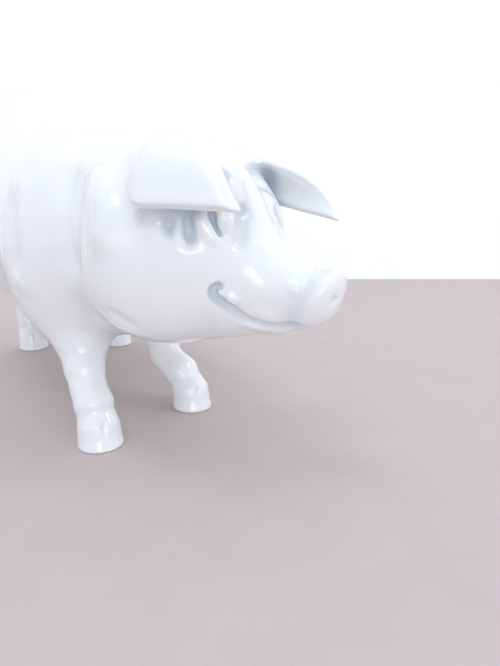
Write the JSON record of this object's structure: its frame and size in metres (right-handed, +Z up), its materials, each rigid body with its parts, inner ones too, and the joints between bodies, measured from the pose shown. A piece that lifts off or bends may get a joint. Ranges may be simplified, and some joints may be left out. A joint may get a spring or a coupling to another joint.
{
  "type": "figural animal coin bank",
  "caption": "Hollow glazed porcelain pig with floppy ears and a turned head, a coin slot in its back and a rubber stopper in its belly.",
  "frame": {"origin": "on the ground, under the middle of the bank's bounding box", "axes": "+X the way the pig's body faces, +Y its left side, +Z up"},
  "size_m": [0.2072, 0.0872, 0.0975],
  "materials": {
    "porcelain": "white body under a clear gloss glaze",
    "stopper_rubber": "matt moulded soft rubber"
  },
  "bodies": {
    "porcelain": {"torso": "porcelain", "head": "porcelain", "right_ear": "porcelain", "left_ear": "porcelain", "right_foreleg": "porcelain", "left_foreleg": "porcelain", "right_hind_leg": "porcelain", "left_hind_leg": "porcelain", "tail": "porcelain"},
    "stopper": {"belly_stopper": "stopper_rubber"}
  },
  "joints": [
    {"name": "stopper_pull", "type": "slide", "parent": "porcelain", "child": "stopper", "axis": [0, 0, -1], "range_m": [0, 0.024]}
  ]
}
